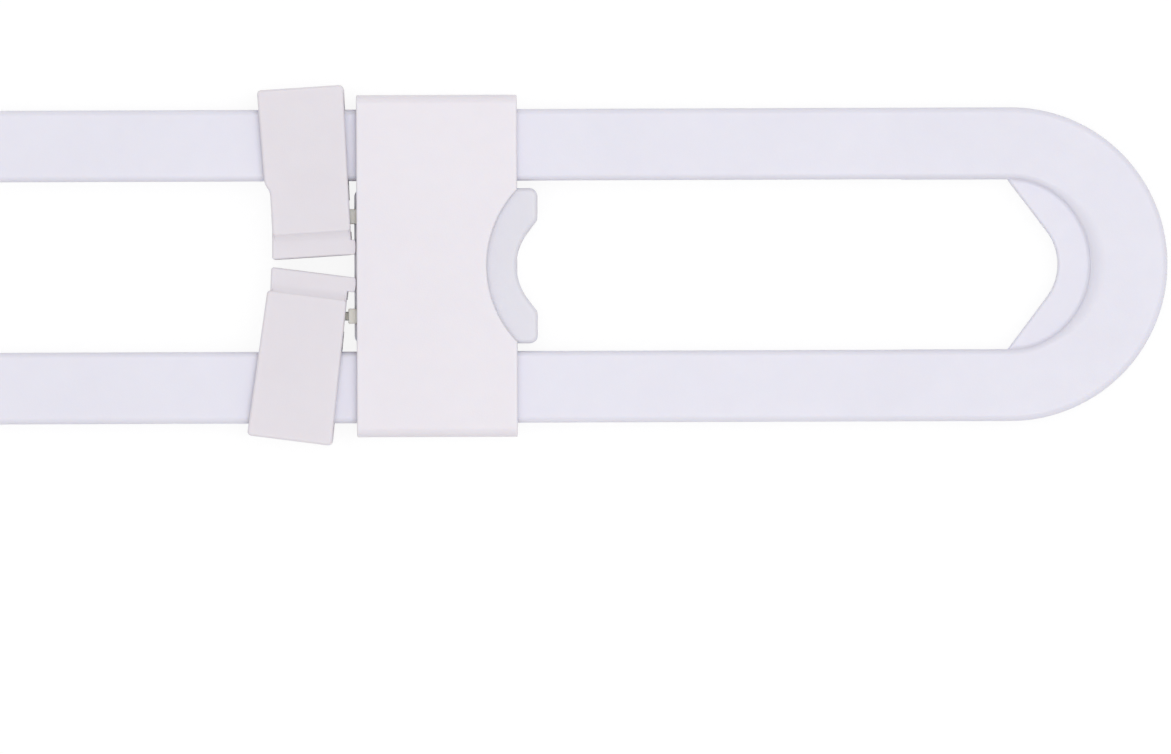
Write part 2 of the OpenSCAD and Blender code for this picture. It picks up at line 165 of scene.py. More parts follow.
def work(base, tool, operation):
    """Cut a tool out of a piece, or fuse it to the piece, and put the tool away."""
    step = base.modifiers.new("work", "BOOLEAN")
    step.operation, step.solver, step.object = operation, "EXACT", tool
    settle(base)
    bpy.data.objects.remove(tool)


def block(low, high):
    """Plain block between two corners."""
    (x0, y0, z0), (x1, y1, z1) = low, high
    return lofted([(x0, y0), (x1, y0), (x1, y1), (x0, y1)], [(z0, 0), (z1, 0)])


def smoothed(thing, name, material):
    """Bring a worked piece to metres, with its flats kept flat and its rounds smooth."""
    shape = bmesh.new()
    shape.from_mesh(thing.data)
    bmesh.ops.remove_doubles(shape, verts=shape.verts, dist=DOUBLES)
    bmesh.ops.dissolve_degenerate(shape, edges=shape.edges, dist=DOUBLES)
    bmesh.ops.scale(shape, vec=(MM, MM, MM), verts=shape.verts)
    shape.to_mesh(thing.data)
    shape.free()
    thing.name = thing.data.name = name
    thing.data.materials.clear()
    thing.data.materials.append(material)
    thing.data.shade_smooth()
    thing.data.set_sharp_from_angle(angle=SHARP_TURN)
    flats = thing.modifiers.new("flats", "WEIGHTED_NORMAL")
    flats.keep_sharp = True
    flats.weight = 80
    return thing


def inner_round(x, y):
    """Rounding of the bar's front edge, which swells to a crescent round the inside of the bend."""
    if x < BEND_X or math.hypot(x - BEND_X, y) > BAR_INNER + BEND_SLACK:
        return BAR_FRONT_ROUND
    turn = math.atan2(y, x - BEND_X)
    across = BEND_SOFTENING * math.sin(turn)
    swell = BEND_SOFTENING * math.cos(turn) + math.sqrt(BAR_INNER**2 - across**2) - BAR_INNER
    return max(BAR_FRONT_ROUND, swell)


bar_plastic = satin_plastic("white bar plastic", (0.808, 0.796, 0.885), (0.792, 0.780, 0.870))
end_x = LEG_END + LEG_END_ROUND
end_outer, end_inner = BAR_OUTER - LEG_END_ROUND, BAR_INNER + LEG_END_ROUND
inner_bend = [(BEND_X + (x - BEND_X) * BEND_INNER / BAR_INNER, y)
              for x, y in arc((BEND_X, 0), BAR_INNER, 90, -90, step=2)]
bar_outline = (
    arc((end_x, -end_outer), LEG_END_ROUND, 180, 270)
    + arc((BEND_X, 0), BAR_OUTER, -90, 90, step=2)
    + arc((end_x, end_outer), LEG_END_ROUND, 90, 180)
    + arc((end_x, end_inner), LEG_END_ROUND, 180, 270)
    + inner_bend
    + arc((end_x, -end_inner), LEG_END_ROUND, 90, 180))
front_rounds = np.array([inner_round(x, y) for x, y in bar_outline])
front_drops = np.maximum(BAR_FRONT_ROUND, CRESCENT_DROP * front_rounds) / front_rounds
bar = solid(lofted(
    bar_outline,
    rear_edge(LEG_REAR, BAR_REAR_ROUND)
    + [(PARTING_HEIGHT, 0), (PARTING_HEIGHT, PARTING_STEP)]
    + [(LEG_FRONT - front_drops * (LEG_FRONT - h), inset + PARTING_STEP)
       for h, inset in front_edge(LEG_FRONT, front_rounds, steps=8)]))

# The notched plate, or web, sits low in the bend and meets it in a fillet: a filler on the web,
# hollowed by a bowl.
NOTCH_ROUND, NOTCH_SLOPE, NOTCH_STEP = 8.0, 37.0, 4
WEB_NOTCH_X, WEB_FRONT, WEB_EDGE_ROUND = BEND_X + 7, 6.3, 0.35
WEB_LAP, WEB_SUNK, WEB_TURN = 0.5, 3, 84
WEB_FILLET, FILLET_REACH = 0.7, 1.015
FILLER_SUNK, FILLER_INSET, BOWL_SUNK, BOWL_MOUTH = 0.3, 0.4, 0.01, 6
notch_x = WEB_NOTCH_X - NOTCH_ROUND
notch_run = math.tan(math.radians(NOTCH_SLOPE))
tip = NOTCH_ROUND * math.sin(math.radians(NOTCH_SLOPE))
tip_x = notch_x + NOTCH_ROUND * math.cos(math.radians(NOTCH_SLOPE))
web_y, web_sunk = BAR_INNER + WEB_LAP, BAR_INNER + WEB_SUNK
web_x = tip_x - (web_y - tip) * notch_run
web_outline = (
    [(web_x, -web_y), (web_x, -web_sunk)]
    + arc((BEND_X, 0), web_sunk, -WEB_TURN, WEB_TURN)
    + [(web_x, web_sunk), (web_x, web_y)]
    + arc((notch_x, 0), NOTCH_ROUND, NOTCH_SLOPE, -NOTCH_SLOPE, NOTCH_STEP))
work(bar, solid(lofted(
    web_outline, rear_edge(LEG_REAR, WEB_EDGE_ROUND) + front_edge(WEB_FRONT, WEB_EDGE_ROUND))),
    "UNION")
filler = solid(lofted(web_outline, [(WEB_FRONT - FILLER_SUNK, FILLER_INSET),
                                    (WEB_FRONT + WEB_FILLET, FILLER_INSET)]))
bowl_outline = [
    (BEND_X - BOWL_MOUTH, -BAR_INNER),
    *((BEND_X + (x - BEND_X) * FILLET_REACH, y * FILLET_REACH) for x, y in reversed(inner_bend)),
    (BEND_X - BOWL_MOUTH, BAR_INNER)]
work(filler, solid(lofted(
    bowl_outline, rear_edge(WEB_FRONT - BOWL_SUNK, WEB_FILLET, steps=8) + [(LEG_FRONT, 0)])),
    "DIFFERENCE")
work(bar, filler, "UNION")

# The racks: the legs' inner sides are cut back behind the front strip, and the teeth stand on
# the cut. PAST is how far a cutter reaches beyond the faces that it cuts.
PAST = 1
RACK_ROOT, RACK_END, FLANGE_REAR = 13.75, 68.4, 5.4
TOOTH_PITCH, TOOTH_DEPTH, TOOTH_TIP, TOOTH_ROUND = 2.5, 0.9, 0.4, 0.1
LOCK_LEAN, RAMP_LEAN = math.tan(math.radians(42)), math.tan(math.radians(25))
RACK_START, TEETH = -79.4897, 59
TOOTH_SUNK, TOOTH_REAR = 0.15, LEG_REAR + 0.12
for side in (-1, 1):
    low, high = sorted((side * (BAR_INNER - PAST), side * RACK_ROOT))
    work(bar, solid(block((LEG_END - PAST, low, LEG_REAR - PAST), (RACK_END, high, FLANGE_REAR))),
         "DIFFERENCE")


def node_tree(name, sizes):
    """Empty tree with a named input for each size, and the inputs' identifiers."""
    tree = bpy.data.node_groups.new(name, "GeometryNodeTree")
    tree.interface.new_socket("Places", in_out="INPUT", socket_type="NodeSocketGeometry")
    keys = {label: tree.interface.new_socket(
        label, in_out="INPUT", socket_type="NodeSocket" + kind).identifier
        for label, kind in sizes.items()}
    tree.interface.new_socket("Pieces", in_out="OUTPUT", socket_type="NodeSocketGeometry")
    return tree, keys


def repeated(tree, keys, places, **sizes):
    """Mesh that a tree makes from points with its inputs set, as an object."""
    mesh = bpy.data.meshes.new("places")
    mesh.from_pydata(places, [], [])
    thing = bpy.data.objects.new("work", mesh)
    bpy.context.scene.collection.objects.link(thing)
    step = thing.modifiers.new("repeat", "NODES")
    step.node_group = tree
    for label, value in sizes.items():
        step[keys[label]] = value
    settle(thing)
    return thing


def link(tree, *pairs):
    """Join sockets of a tree, given in pairs."""
    for given, taken in pairs:
        tree.links.new(given, taken)


teeth_tree, teeth_keys = node_tree("rack teeth", {
    "Base": "Vector", "Tip Start": "Vector", "Tip End": "Vector", "Foot": "Vector",
    "Rounding": "Float", "Height": "Vector", "Material": "Material"})
made = teeth_tree.nodes
given = made.new("NodeGroupInput").outputs
profile = made.new("GeometryNodeCurvePrimitiveQuadrilateral")
profile.mode = "POINTS"
softened = made.new("GeometryNodeFilletCurve")
softened.mode = "POLY"
softened.inputs["Count"].default_value = 3
softened.inputs["Limit Radius"].default_value = True
filled = made.new("GeometryNodeFillCurve")
filled.mode = "NGONS"
raised = made.new("GeometryNodeExtrudeMesh")
raised.inputs["Individual"].default_value = False
turned = made.new("GeometryNodeFlipFaces")
tooth = made.new("GeometryNodeJoinGeometry")
closed = made.new("GeometryNodeMergeByDistance")
row = made.new("GeometryNodeInstanceOnPoints")
real = made.new("GeometryNodeRealizeInstances")
coat = made.new("GeometryNodeSetMaterial")
link(teeth_tree,
     (given["Base"], profile.inputs["Point 1"]), (given["Tip Start"], profile.inputs["Point 2"]),
     (given["Tip End"], profile.inputs["Point 3"]), (given["Foot"], profile.inputs["Point 4"]),
     (profile.outputs[0], softened.inputs["Curve"]),
     (given["Rounding"], softened.inputs["Radius"]),
     (softened.outputs[0], filled.inputs["Curve"]), (filled.outputs[0], raised.inputs["Mesh"]),
     (given["Height"], raised.inputs["Offset"]), (filled.outputs[0], turned.inputs["Mesh"]),
     (turned.outputs[0], tooth.inputs[0]), (raised.outputs["Mesh"], tooth.inputs[0]),
     (tooth.outputs[0], closed.inputs["Geometry"]), (given["Places"], row.inputs["Points"]),
     (closed.outputs[0], row.inputs["Instance"]), (row.outputs[0], real.inputs[0]),
     (real.outputs[0], coat.inputs["Geometry"]), (given["Material"], coat.inputs["Material"]),
     (coat.outputs[0], made.new("NodeGroupOutput").inputs[0]))

foot_y = RACK_ROOT + TOOTH_SUNK
tip_y = RACK_ROOT - TOOTH_DEPTH
ramp_x = TOOTH_DEPTH * RAMP_LEAN
foot_x = ramp_x + TOOTH_TIP + (TOOTH_DEPTH + TOOTH_SUNK) * LOCK_LEAN
for side in (-1, 1):
    rack = repeated(
        teeth_tree, teeth_keys,
        [(RACK_START + i * TOOTH_PITCH, 0, TOOTH_REAR) for i in range(TEETH)],
        Base=(-TOOTH_SUNK * RAMP_LEAN, side * foot_y, 0), Foot=(foot_x, side * foot_y, 0),
        **{"Tip Start": (ramp_x, side * tip_y, 0),
           "Tip End": (ramp_x + TOOTH_TIP, side * tip_y, 0)},
        Rounding=TOOTH_ROUND, Height=(0, 0, FLANGE_REAR + TOOTH_SUNK - TOOTH_REAR),
        Material=bar_plastic)
    shape = bmesh.new()
    shape.from_mesh(rack.data)
    bmesh.ops.recalc_face_normals(shape, faces=shape.faces)
    shape.to_mesh(rack.data)
    shape.free()
    work(bar, rack, "UNION")

marks_tree, marks_keys = node_tree("push-out marks", {
    "Radius": "Float", "Depth": "Float", "Material": "Material"})
made = marks_tree.nodes
given = made.new("NodeGroupInput").outputs
disc = made.new("GeometryNodeMeshCylinder")
disc.inputs["Vertices"].default_value = 40
row = made.new("GeometryNodeInstanceOnPoints")
real = made.new("GeometryNodeRealizeInstances")
coat = made.new("GeometryNodeSetMaterial")
link(marks_tree,
     (given["Radius"], disc.inputs["Radius"]), (given["Depth"], disc.inputs["Depth"]),
     (disc.outputs["Mesh"], row.inputs["Instance"]), (given["Places"], row.inputs["Points"]),
     (row.outputs[0], real.inputs[0]), (real.outputs[0], coat.inputs["Geometry"]),
     (given["Material"], coat.inputs["Material"]),
     (coat.outputs[0], made.new("NodeGroupOutput").inputs[0]))
MARK_RADIUS, MARK_DEPTH, MARK_Y = 2.2, 0.12, 18.6
LEG_MARKS, BEND_MARKS = (-74, -46, -18, 10, 38, 66), (-52, 0, 52)
marks = [(x, side * MARK_Y, LEG_REAR) for x in LEG_MARKS for side in (-1, 1)]
marks += [(BEND_X + MARK_Y * math.cos(t), MARK_Y * math.sin(t), LEG_REAR)
          for t in np.radians(BEND_MARKS)]
work(bar, repeated(marks_tree, marks_keys, marks, Radius=MARK_RADIUS, Depth=2 * MARK_DEPTH,
                   Material=bar_plastic), "DIFFERENCE")
smoothed(bar, "bar_moulding", bar_plastic)
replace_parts(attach(bar, "bar"), "u_bar")

# Rear cover: the slider's rear shell, a shallow white tray that lies against the door. The
# front cover's four pegs come through it and are upset into the countersunk holes.
HOUSING_X, HOUSING_Y, SEAM, SEAM_PAST = 11.8, 25.15, 3.4, 2
SEAM_CORNER, SEAM_ROUND, REAR_CORNER, END_ROUND = 0.17, 0.13, 0.6, 0.5
REAR_FLOOR, CHANNEL_INNER, CHANNEL_OUTER = 1.5, 12.2, 23.4
SEAT_GAP = 0.05
PEG_X, PEG_Y, PEG_RADIUS = 4.0, 8.0, 1.2
HOLE_RADIUS, SINK, SINK_DEPTH = PEG_RADIUS + SEAT_GAP, 0.35, 0.35


def eased(corners, step=12.0):
    """Outline through corners given as x, y and a radius, with each corner rounded."""
    outline = []
    for i, (x, y, radius) in enumerate(corners):
        if radius == 0:
            outline.append((x, y))
            continue
        here = Vector((x, y))
        back = (Vector(corners[i - 1][:2]) - here).normalized()
        ahead = (Vector(corners[(i + 1) % len(corners)][:2]) - here).normalized()
        half = back.angle(ahead) / 2
        middle = here + (back + ahead).normalized() * (radius / math.sin(half))
        first, last = (here + way * (radius / math.tan(half)) - middle for way in (back, ahead))
        start = math.degrees(math.atan2(first.y, first.x))
        sweep = (math.degrees(math.atan2(last.y, last.x)) - start + 180) % 360 - 180
        outline += arc(middle, radius, start, start + sweep, step)
    return outline


def circle(centre, radius, step=9):
    """Outline of a round hole or pin."""
    return arc(centre, radius, 0, 360, step)[:-1]


def along_legs(y, z, x):
    """Place of a solid whose outline is a cross-section of the slider."""
    return x, y, z


def passage(low, high, start, end, flare=0.25, round_=0.3, steps=4):
    """Cutter for a passage along the legs, whose two mouths come out rounded."""
    outline = eased([(*low, round_), (high[0], low[1], round_), (*high, round_),
                     (low[0], high[1], round_)])
    turns = np.linspace(math.pi / 2, 0, steps + 1)
    mouth = [(flare * (1 - math.sin(t)), flare * (math.cos(t) - 1)) for t in turns]
    rings = [(start - PAST, -flare)] + [(start + h, inset) for h, inset in mouth]
    rings += [(end - h, inset) for h, inset in reversed(mouth)] + [(end + PAST, -flare)]
    return lofted(outline, rings, along_legs)


cover_plastic = satin_plastic("white cover plastic", (0.846, 0.808, 0.864), (0.832, 0.794, 0.850))
tray_outline = eased([(-HOUSING_Y, 0, REAR_CORNER), (HOUSING_Y, 0, REAR_CORNER),
                      (HOUSING_Y, SEAM, SEAM_CORNER), (-HOUSING_Y, SEAM, SEAM_CORNER)])
tray_rounds = np.array([SEAM_ROUND if z > SEAM - END_ROUND else END_ROUND
                        for _, z in tray_outline])
tray = solid(lofted(
    tray_outline, rear_edge(-HOUSING_X, tray_rounds) + front_edge(HOUSING_X, tray_rounds),
    along_legs))
work(tray, solid(passage((-CHANNEL_OUTER, REAR_FLOOR), (CHANNEL_OUTER, SEAM + SEAM_PAST),
                         -HOUSING_X, HOUSING_X)), "DIFFERENCE")
pegs = [(x, y) for x in (-PEG_X, PEG_X) for y in (-PEG_Y, PEG_Y)]
for peg in pegs:
    work(tray, solid(lofted(
        circle(peg, HOLE_RADIUS),
        [(-PAST, -SINK), (0, -SINK), (SINK_DEPTH, 0), (REAR_FLOOR + PAST, 0)])), "DIFFERENCE")
smoothed(tray, "rear_shell", cover_plastic)
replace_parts(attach(tray, "slider"), "rear_cover")

# Core: the white block between the legs, clamped by the covers. Its notched end is the saddle
# that holds a knob, and its other end has the ears of the two hinges and the springs' slots.
CORE_NEAR, CORE_FAR, CORE_Y, CORE_FRONT = -12.15, 14.8, 11.4, 6.6
DECK_X, DECK_FRONT = -7.0, 7.9
CORE_ROUND, TIP_ROUND, CORE_REAR_ROUND, CORE_EDGE_ROUND = 1.2, 1.3, 0.3, 0.6
SADDLE_NOTCH_X = CORE_FAR - 3.1
PIN_X, PIN_Y, PIN_RADIUS = -10.9, 2.8, 0.7
KNUCKLE_LOW, KNUCKLE_HIGH, KNUCKLE_RADIUS = 2.6, 5.5, 1.5
POCKET_RADIUS, POCKET_GAP = KNUCKLE_RADIUS + 0.3, 0.1
SPRING_Y, SPRING_LOW, SPRING_HIGH = 7.3247, 2.65, 5.45
BOSS_X, BOSS_HALF = -13.05, 1.1
HEAD_X, HEAD_LENGTH, HEAD_HALF, HEAD_LAP = -10.55, 1.4, 1.6, 0.5

core_plastic = satin_plastic("white core plastic", (0.768, 0.757, 0.823), (0.752, 0.741, 0.807))
saddle_x = SADDLE_NOTCH_X + NOTCH_ROUND
saddle_tip_y = tip + (CORE_FAR - saddle_x + (tip_x - notch_x)) / notch_run
saddle = arc((saddle_x, 0), NOTCH_ROUND, 180 + NOTCH_SLOPE, 180 - NOTCH_SLOPE, NOTCH_STEP)
core = solid(lofted(
    eased([(CORE_NEAR, -CORE_Y, CORE_ROUND), (CORE_FAR, -CORE_Y, CORE_ROUND),
           (CORE_FAR, -saddle_tip_y, TIP_ROUND)]
          + [(*p, 0) for p in saddle]
          + [(CORE_FAR, saddle_tip_y, TIP_ROUND), (CORE_FAR, CORE_Y, CORE_ROUND),
             (CORE_NEAR, CORE_Y, CORE_ROUND)]),
    rear_edge(REAR_FLOOR, CORE_REAR_ROUND) + front_edge(DECK_FRONT, CORE_EDGE_ROUND, steps=6)))
work(core, solid(block((CORE_NEAR - PAST, -CORE_Y - PAST, CORE_FRONT),
                       (DECK_X, CORE_Y + PAST, DECK_FRONT + PAST))), "DIFFERENCE")
for side in (-1, 1):
    y = side * PIN_Y
    pocket = ([(CORE_NEAR - PAST, y - POCKET_RADIUS)] + arc((PIN_X, y), POCKET_RADIUS, -90, 90)
              + [(CORE_NEAR - PAST, y + POCKET_RADIUS)])
    work(core, solid(lofted(
        pocket, [(KNUCKLE_LOW - POCKET_GAP, 0), (KNUCKLE_HIGH + POCKET_GAP, 0)])), "DIFFERENCE")
    work(core, solid(lofted(
        circle((PIN_X, y), PIN_RADIUS + SEAT_GAP), [(0, 0), (CORE_FRONT + PAST, 0)])), "DIFFERENCE")
    y = side * SPRING_Y
    for low_x, high_x, half in ((BOSS_X - PAST, HEAD_X + HEAD_LAP, BOSS_HALF),
                                (HEAD_X - SEAT_GAP, HEAD_X + HEAD_LENGTH + SEAT_GAP, HEAD_HALF)):
        work(core, solid(block((low_x, y - half - SEAT_GAP, SPRING_LOW),
                               (high_x, y + half + SEAT_GAP, CORE_FRONT + PAST))), "DIFFERENCE")
    for x in (-PEG_X, PEG_X):
        work(core, solid(lofted(
            circle((x, side * PEG_Y), HOLE_RADIUS), [(0, 0), (DECK_FRONT + PAST, 0)])),
            "DIFFERENCE")
smoothed(core, "core_block", core_plastic)
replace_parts(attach(core, "slider"), "lock_core")

# Hinge pins: two short lengths of drawn steel wire, pressed through the core's ears. The tabs'
# knuckles turn on them.
FINE_ROUND, FINE_STEPS = 0.15, 3


def drawn_steel(name):
    """Bright wire with fine draw lines along its length."""
    skin = bpy.data.materials.new(name)
    skin.use_nodes = True
    nodes, links = skin.node_tree.nodes, skin.node_tree.links
    shader = nodes["Principled BSDF"]
    shader.inputs["Metallic"].default_value = 1.0
    place = nodes.new("ShaderNodeMapping")
    place.inputs["Scale"].default_value = (9000, 9000, 150)
    links.new(nodes.new("ShaderNodeTexCoord").outputs["Object"], place.inputs["Vector"])
    lines = nodes.new("ShaderNodeTexNoise")
    lines.inputs["Scale"].default_value = 1.0
    lines.inputs["Detail"].default_value = 4.0
    links.new(place.outputs["Vector"], lines.inputs["Vector"])
    tone = nodes.new("ShaderNodeValToRGB")
    tone.color_ramp.elements[0].color = (0.50, 0.51, 0.53, 1)
    tone.color_ramp.elements[1].color = (0.66, 0.67, 0.69, 1)
    links.new(lines.outputs["Fac"], tone.inputs["Fac"])
    links.new(tone.outputs["Color"], shader.inputs["Base Color"])
    polish = nodes.new("ShaderNodeMapRange")
    polish.inputs["To Min"].default_value = 0.24
    polish.inputs["To Max"].default_value = 0.42
    links.new(lines.outputs["Fac"], polish.inputs["Value"])
    links.new(polish.outputs["Result"], shader.inputs["Roughness"])
    return skin


pin_steel = drawn_steel("drawn steel wire")
for name, node, side in (("upper_pin", "upper_hinge_pin", 1), ("lower_pin", "lower_hinge_pin", -1)):
    pin = solid(lofted(
        circle((PIN_X, side * PIN_Y), PIN_RADIUS),
        rear_edge(REAR_FLOOR, FINE_ROUND, FINE_STEPS)
        + front_edge(CORE_FRONT, FINE_ROUND, FINE_STEPS)))
    smoothed(pin, name, pin_steel)
    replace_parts(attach(pin, "slider"), node)

# Squeeze tabs: two white mouldings, each a sleeve round a leg that leads down a soft ramp to a
# low step, with a pawl for the rack, a pocket for its spring and a hooded hinge knuckle. They widen
# a little outwards. The upper one's far side is drawn in along a curve, the lower one's is straight.
TAB_OUTER, TAB_INNER, STEP_END, STEP_FRONT = 26.80, 1.8177, 5.2177, 9.0
TAB_REAR, TAB_FRONT, TAB_REAR_INSIDE, TAB_FRONT_INSIDE = 0.25, 9.6, 1.5, 8.1
TUNNEL_OUTER, TUNNEL_INSET, POCKET_FAR = 25.4857, 0.1, -22.8
TAB_EDGE_ROUND, TAB_REAR_ROUND, TAB_CORNER_ROUND = 0.35, 0.3, 0.6
STEP_ROUND, STEP_CORNER_ROUND, STEP_LAP = 0.3, 0.4, 1
RAMP_LENGTH, RAMP_SUNK, RAMP_BELOW = 0.8, 0.3, 0.01
HOOD_END, HOOD_INNER_END, HOOD_OUTER, HOOD_LOW = -11.9, -12.036, 4.0, 6.7
HOOD_ROUND, HOOD_ROOT = 0.12, 2
PAWL_FACE, PAWL_INSIDE = 12.2, 9.9
PAWL_X, PAWL_TOP, PAWL_TIP, PAWL_FRONT = -23.55, 13.5, 0.5, 5.1
PAWL_SUNK, PAWL_FLOOR_SUNK, PAWL_ROUND = 0.05, 0.1, 0.1
NECK_HALF, NECK_SUNK = KNUCKLE_RADIUS / 2, 0.5
UPPER_SQUEEZE, LOWER_SQUEEZE = math.radians(3.6), math.radians(7.4)


def drawn_in(x, y, inset, length):
    """S-shaped curve down a tab's far side from x, y, which ends further in."""
    radius = (length**2 + inset**2) / (4 * inset)
    turn = math.degrees(math.asin(length / 2 / radius))
    return (arc((x + radius, y), radius, 180, 180 + turn, step=4)
            + arc((x + inset - radius, y - length), radius, turn, 0, step=4)[1:])


def moulded_tab(near, far, step_far, curve):
    """Released upper tab. Its sides and its step's end run from an outer to an inner place."""
    corner, step_corner = TAB_CORNER_ROUND, STEP_CORNER_ROUND
    rear = rear_edge(TAB_REAR, TAB_REAR_ROUND)
    step_near = np.interp(STEP_END, (TAB_INNER, TAB_OUTER), near[::-1])
    step_root = STEP_END + STEP_LAP
    tab = solid(lofted(
        eased([(step_near, STEP_END, corner), (near[0], TAB_OUTER, corner),
               (far[0], TAB_OUTER, corner)]
              + [(*p, 0) for p in curve] + [(far[1], STEP_END, corner)]),
        rear + front_edge(TAB_FRONT, TAB_EDGE_ROUND)))
    work(tab, solid(lofted(
        eased([(step_far[1], TAB_INNER, step_corner), (near[1], TAB_INNER, step_corner),
               (step_near, step_root, 0), (step_far[0], step_root, 0)]),
        rear + front_edge(STEP_FRONT, STEP_ROUND))), "UNION")

    ramp_top = TAB_FRONT - RAMP_BELOW
    work(tab, solid(lofted(
        [(STEP_END - RAMP_LENGTH, STEP_FRONT), (step_root, STEP_FRONT - RAMP_SUNK),
         (step_root, ramp_top), (STEP_END + TAB_EDGE_ROUND, ramp_top)],
        [(max(step_far[0], far[1]) + STEP_ROUND, 0), (near[1] - STEP_ROUND, 0)], along_legs)),
        "UNION")

    hood_root = near[1] - HOOD_ROOT
    hood = eased([(hood_root, TAB_INNER, 0), (HOOD_INNER_END, TAB_INNER, step_corner),
                  (HOOD_END, PIN_Y, step_corner), (HOOD_END, HOOD_OUTER, step_corner),
                  (hood_root, HOOD_OUTER, 0)])
    hood_rounds = np.array([STEP_ROUND if y == TAB_INNER else HOOD_ROUND for _, y in hood])
    work(tab, solid(lofted(
        hood, [(HOOD_LOW, 0)] + front_edge(STEP_FRONT, hood_rounds))), "UNION")

    work(tab, solid(passage((PAWL_FACE, TAB_REAR_INSIDE), (TUNNEL_OUTER, TAB_FRONT_INSIDE),
                            far[0] + TUNNEL_INSET, near[0] - TUNNEL_INSET)), "DIFFERENCE")
    work(tab, solid(block((POCKET_FAR, STEP_END, TAB_REAR - PAST),
                          (near[0] + PAST, PAWL_INSIDE, TAB_FRONT_INSIDE))), "DIFFERENCE")

    pawl_x = PAWL_X + (PAWL_TOP - tip_y) * LOCK_LEAN
    pawl_root = PAWL_FACE - PAWL_SUNK
    pawl_depth = PAWL_TOP - pawl_root
    work(tab, solid(lofted(
        eased([(pawl_x - pawl_depth * LOCK_LEAN, pawl_root, 0),
               (pawl_x + PAWL_TIP + pawl_depth * RAMP_LEAN, pawl_root, 0),
               (pawl_x + PAWL_TIP, PAWL_TOP, PAWL_ROUND), (pawl_x, PAWL_TOP, PAWL_ROUND)]),
        [(TAB_REAR_INSIDE - PAWL_FLOOR_SUNK, 0)]
        + front_edge(PAWL_FRONT, FINE_ROUND, FINE_STEPS))), "UNION")

    work(tab, solid(block((near[1] - NECK_SUNK, PIN_Y - NECK_HALF, KNUCKLE_LOW),
                          (PIN_X, PIN_Y + NECK_HALF, KNUCKLE_HIGH))), "UNION")
    work(tab, solid(lofted(
        circle((PIN_X, PIN_Y), KNUCKLE_RADIUS),
        rear_edge(KNUCKLE_LOW, FINE_ROUND, FINE_STEPS)
        + front_edge(KNUCKLE_HIGH, FINE_ROUND, FINE_STEPS))), "UNION")
    work(tab, solid(lofted(
        circle((PIN_X, PIN_Y), PIN_RADIUS + SEAT_GAP),
        [(KNUCKLE_LOW - PAST, 0), (KNUCKLE_HIGH + PAST, 0)])), "DIFFERENCE")
    return tab


def squeezed(thing, turn):
    """Turn a released upper tab about its pin."""
    pin_place = Vector((PIN_X, PIN_Y, 0))
    thing.data.transform(Matrix.Translation(pin_place) @ Matrix.Rotation(turn, 4, "Z")
                         @ Matrix.Translation(-pin_place))


def mirrored(thing):
    """Turn an upper piece into its lower twin."""
    thing.data.transform(Matrix.Diagonal((1, -1, 1, 1)))
    thing.data.flip_normals()


# The tabs' plastic is the cover's white plastic made darker; the difference is painted shade on the
# tabs.
shaded_tab_plastic = satin_plastic("white tab plastic", (0.785, 0.745, 0.795), (0.767, 0.727, 0.777))
upper_tab = moulded_tab(near=(-12.2, -12.54), far=(-24.9, -24.0), step_far=(-24.0, -24.3),
                        curve=drawn_in(-24.7, 13.65, inset=0.75, length=2.5))
lower_tab = moulded_tab(near=(-12.48, -13.02), far=(-25.02, -24.72), step_far=(-24.2, -24.6),
                        curve=[])
squeezed(upper_tab, UPPER_SQUEEZE)
squeezed(lower_tab, LOWER_SQUEEZE)
mirrored(lower_tab)
smoothed(upper_tab, "upper_squeeze_tab", shaded_tab_plastic)
smoothed(lower_tab, "lower_squeeze_tab", shaded_tab_plastic)
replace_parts(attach(upper_tab, "upper_lever"), "upper_tab")
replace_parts(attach(lower_tab, "lower_lever"), "lower_tab")

# Springs: two leaves of natural, slightly clear plastic. Each has a T-shaped foot that drops
# into the core, and a nose that bears on the back of its pawl's wall; each leaf is drawn bent as far
# as its tab is turned.
SPRING_END, SPRING_ROOT, SPRING_NOSE, LEAF_STEPS = -22.0, 1.3, 0.8, 28
LEAF_ROUND, LEAF_SUNK = 0.14, 0.4
FOOT_HIGH, FOOT_CORNER_ROUND = 7.8, 0.15
GUSSET_HIGH, GUSSET_SHARE = 7.6, 0.3

